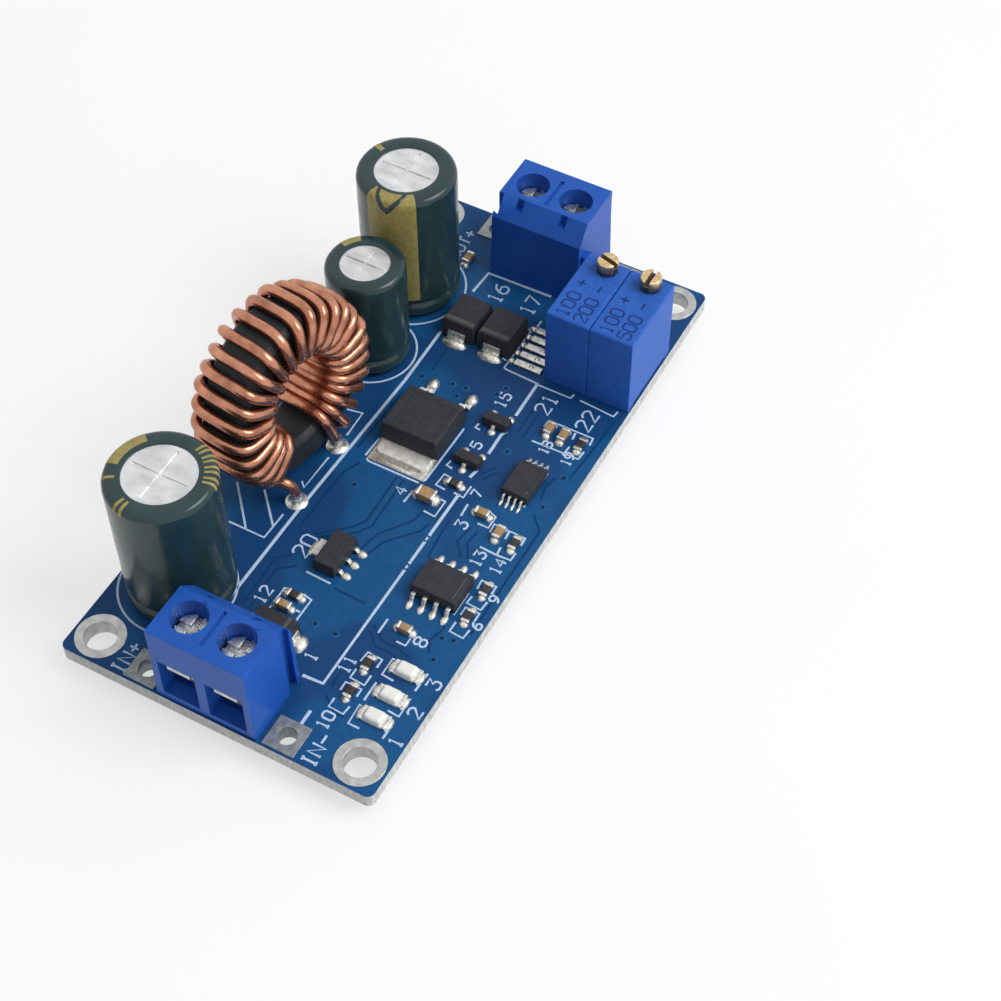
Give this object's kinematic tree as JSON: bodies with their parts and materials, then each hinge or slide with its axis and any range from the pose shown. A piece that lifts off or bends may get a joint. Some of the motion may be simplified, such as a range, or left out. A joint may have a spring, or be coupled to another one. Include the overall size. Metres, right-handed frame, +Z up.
{
  "type": "buck-boost converter module",
  "caption": "Blue circuit board with two screw terminals, a copper-wound ring coil, upright capacitors, power parts and twin trimmers.",
  "frame": {"origin": "middle of the four-hole mounting pattern, on the board's underside", "axes": "+X along the board from the input terminal to the output terminal, +Y to the capacitor side, +Z up out of the populated face"},
  "size_m": [0.07, 0.034, 0.0238],
  "materials": {
    "board_mask": "satin",
    "brass_screw": "satin",
    "bung_rubber": "matte",
    "can_aluminium": "satin",
    "chip_ceramic_dark": "matte",
    "chip_ceramic_tan": "matte",
    "core_coating": "matte",
    "enamelled_copper": "gloss",
    "epoxy_black": "matte",
    "lamp_resin": "satin",
    "lamp_white": "matte",
    "nickel_screw": "polished",
    "plated_steel": "satin",
    "sleeve_film": "gloss",
    "terminal_plastic": "satin",
    "tinned_copper": "satin",
    "tinned_metal": "satin",
    "trimmer_plastic": "matte"
  },
  "bodies": {
    "board": {"amplifier_body": "epoxy_black", "amplifier_leads": "tinned_metal", "chip_capacitor_bodies": "chip_ceramic_tan", "chip_capacitor_end_caps": "tinned_metal", "chip_resistor_bodies": "chip_ceramic_dark", "chip_resistor_end_caps": "tinned_metal", "circuit_board": "board_mask", "coil_core": "core_coating", "coil_winding": "enamelled_copper", "controller_body": "epoxy_black", "controller_leads": "tinned_metal", "current_trimmer_housing": "trimmer_plastic", "current_trimmer_pins": "tinned_metal", "input_capacitor_bung": "bung_rubber", "input_capacitor_can": "can_aluminium", "input_capacitor_leads": "tinned_metal", "input_capacitor_sleeve": "sleeve_film", "input_diode_body": "epoxy_black", "input_diode_leads": "tinned_metal", "input_terminal_contacts": "plated_steel", "input_terminal_housing": "terminal_plastic", "lamp_bases": "lamp_white", "lamp_lenses": "lamp_resin", "lamp_terminals": "tinned_metal", "middle_capacitor_bung": "bung_rubber", "middle_capacitor_can": "can_aluminium", "middle_capacitor_leads": "tinned_metal", "middle_capacitor_sleeve": "sleeve_film", "mounting_hole_rims": "tinned_copper", "output_capacitor_bung": "bung_rubber", "output_capacitor_can": "can_aluminium", "output_capacitor_leads": "tinned_metal", "output_capacitor_sleeve": "sleeve_film", "output_terminal_contacts": "plated_steel", "output_terminal_housing": "terminal_plastic", "power_transistor_body": "epoxy_black", "power_transistor_metal": "tinned_metal", "rectifier_body": "epoxy_black", "rectifier_leads": "tinned_metal", "regulator_body": "epoxy_black", "regulator_leads": "tinned_metal", "small_transistor_body": "epoxy_black", "small_transistor_leads": "tinned_metal", "tinned_strips": "tinned_metal", "voltage_trimmer_housing": "trimmer_plastic", "voltage_trimmer_pins": "tinned_metal", "wire_pads": "tinned_copper"},
    "current_trimmer_screw": {"current_trimmer_screw": "brass_screw"},
    "input_minus_clamp_screw": {"input_minus_clamp_screw": "nickel_screw"},
    "input_minus_wire_cage": {"input_minus_wire_cage": "plated_steel"},
    "input_plus_clamp_screw": {"input_plus_clamp_screw": "nickel_screw"},
    "input_plus_wire_cage": {"input_plus_wire_cage": "plated_steel"},
    "output_minus_clamp_screw": {"output_minus_clamp_screw": "nickel_screw"},
    "output_minus_wire_cage": {"output_minus_wire_cage": "plated_steel"},
    "output_plus_clamp_screw": {"output_plus_clamp_screw": "nickel_screw"},
    "output_plus_wire_cage": {"output_plus_wire_cage": "plated_steel"},
    "voltage_trimmer_screw": {"voltage_trimmer_screw": "brass_screw"}
  },
  "joints": [
    {"name": "input_minus_screw_turn", "type": "hinge", "parent": "board", "child": "input_minus_clamp_screw", "pos_m": [-0.0316, -0.00194, 0.0094], "axis": [0, 0, 1], "range_deg": [-240.5, 640.5]},
    {"name": "input_minus_cage_lift", "type": "slide", "parent": "board", "child": "input_minus_wire_cage", "axis": [0, 0, 1], "range_m": [-0.0008, 0.0003]},
    {"name": "input_plus_screw_turn", "type": "hinge", "parent": "board", "child": "input_plus_clamp_screw", "pos_m": [-0.0316, 0.00314, 0.0094], "axis": [0, 0, 1], "range_deg": [-240.5, 640.5]},
    {"name": "input_plus_cage_lift", "type": "slide", "parent": "board", "child": "input_plus_wire_cage", "axis": [0, 0, 1], "range_m": [-0.0008, 0.0003]},
    {"name": "output_minus_screw_turn", "type": "hinge", "parent": "board", "child": "output_minus_clamp_screw", "pos_m": [0.0316, -0.00254, 0.0094], "axis": [0, 0, 1], "range_deg": [-240.5, 640.5]},
    {"name": "output_minus_cage_lift", "type": "slide", "parent": "board", "child": "output_minus_wire_cage", "axis": [0, 0, 1], "range_m": [-0.0008, 0.0003]},
    {"name": "output_plus_screw_turn", "type": "hinge", "parent": "board", "child": "output_plus_clamp_screw", "pos_m": [0.0316, 0.00254, 0.0094], "axis": [0, 0, 1], "range_deg": [-240.5, 640.5]},
    {"name": "output_plus_cage_lift", "type": "slide", "parent": "board", "child": "output_plus_wire_cage", "axis": [0, 0, 1], "range_m": [-0.0008, 0.0003]},
    {"name": "voltage_trimmer_turn", "type": "hinge", "parent": "board", "child": "voltage_trimmer_screw", "pos_m": [0.02431, -0.01482, 0.01163], "axis": [0, 0, 1], "continuous": true},
    {"name": "current_trimmer_turn", "type": "hinge", "parent": "board", "child": "current_trimmer_screw", "pos_m": [0.02431, -0.00993, 0.01163], "axis": [0, 0, 1], "continuous": true}
  ],
  "couplings": [
    {"joint": "input_minus_screw_turn", "follows": "input_minus_cage_lift", "rad_per_m": -13963},
    {"joint": "input_plus_screw_turn", "follows": "input_plus_cage_lift", "rad_per_m": -13963},
    {"joint": "output_minus_screw_turn", "follows": "output_minus_cage_lift", "rad_per_m": -13963},
    {"joint": "output_plus_screw_turn", "follows": "output_plus_cage_lift", "rad_per_m": -13963}
  ]
}
